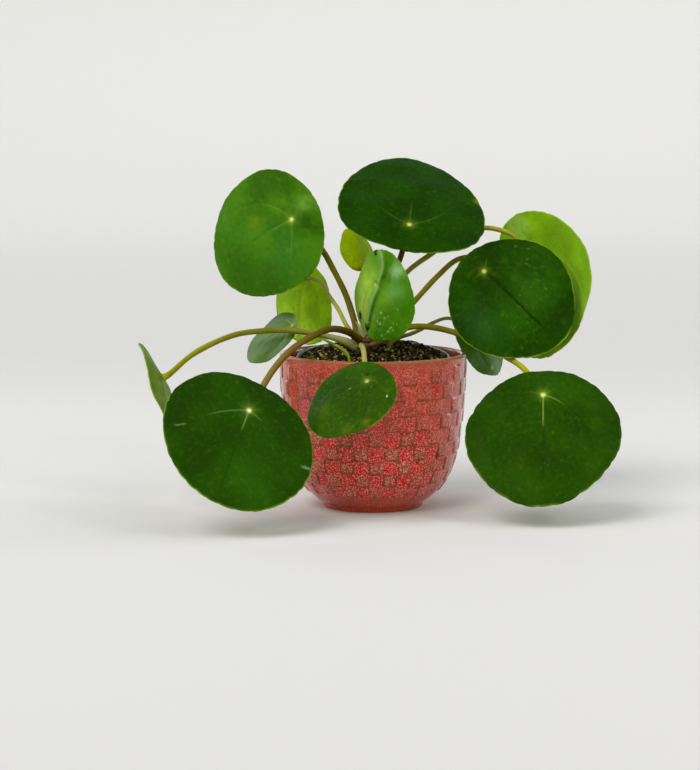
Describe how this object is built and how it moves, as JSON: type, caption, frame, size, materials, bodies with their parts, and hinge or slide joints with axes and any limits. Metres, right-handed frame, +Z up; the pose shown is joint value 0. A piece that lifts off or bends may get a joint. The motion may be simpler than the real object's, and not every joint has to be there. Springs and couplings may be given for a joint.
{
  "type": "potted pilea plant",
  "caption": "House plant with round, flat leaves on long arching stalks, growing from a short stem in a nursery pot of soil inside a glazed cover pot with a checkered relief.",
  "frame": {"origin": "the middle of the flat foot that the cover pot stands on", "axes": "+Z up, out of the pot; +X to the right and +Y away from the viewer, as the plant faces in the picture"},
  "size_m": [0.2799, 0.1833, 0.2031],
  "materials": {
    "pot_glaze": "gloss",
    "nursery_plastic": "satin",
    "soil": "matte",
    "stem": "matte",
    "stalk": "satin",
    "leaf_dark": "satin",
    "leaf_pale": "satin",
    "leaf_back": "satin"
  },
  "bodies": {
    "root": {"pot": "pot_glaze", "nursery_pot": "nursery_plastic", "soil": "soil", "stem": "stem", "stalk_left_upper": "stalk", "blade_left_upper": "leaf_dark", "stalk_top": "stalk", "blade_top": "leaf_dark", "stalk_right_upper": "stalk", "blade_right_upper": "leaf_dark", "stalk_right_back": "stalk", "blade_right_back": "leaf_back", "stalk_right_front": "stalk", "blade_right_front": "leaf_dark", "stalk_left_front": "stalk", "blade_left_front": "leaf_dark", "stalk_front": "stalk", "blade_front": "leaf_dark", "stalk_centre": "stalk", "blade_centre": "leaf_pale", "stalk_centre_back": "stalk", "blade_centre_back": "leaf_back", "stalk_left_back": "stalk", "blade_left_back": "leaf_pale", "stalk_left_small": "stalk", "blade_left_small": "leaf_pale", "stalk_far_left": "stalk", "blade_far_left": "leaf_back", "stalk_right_low": "stalk", "blade_right_low": "leaf_dark"}
  },
  "joints": []
}
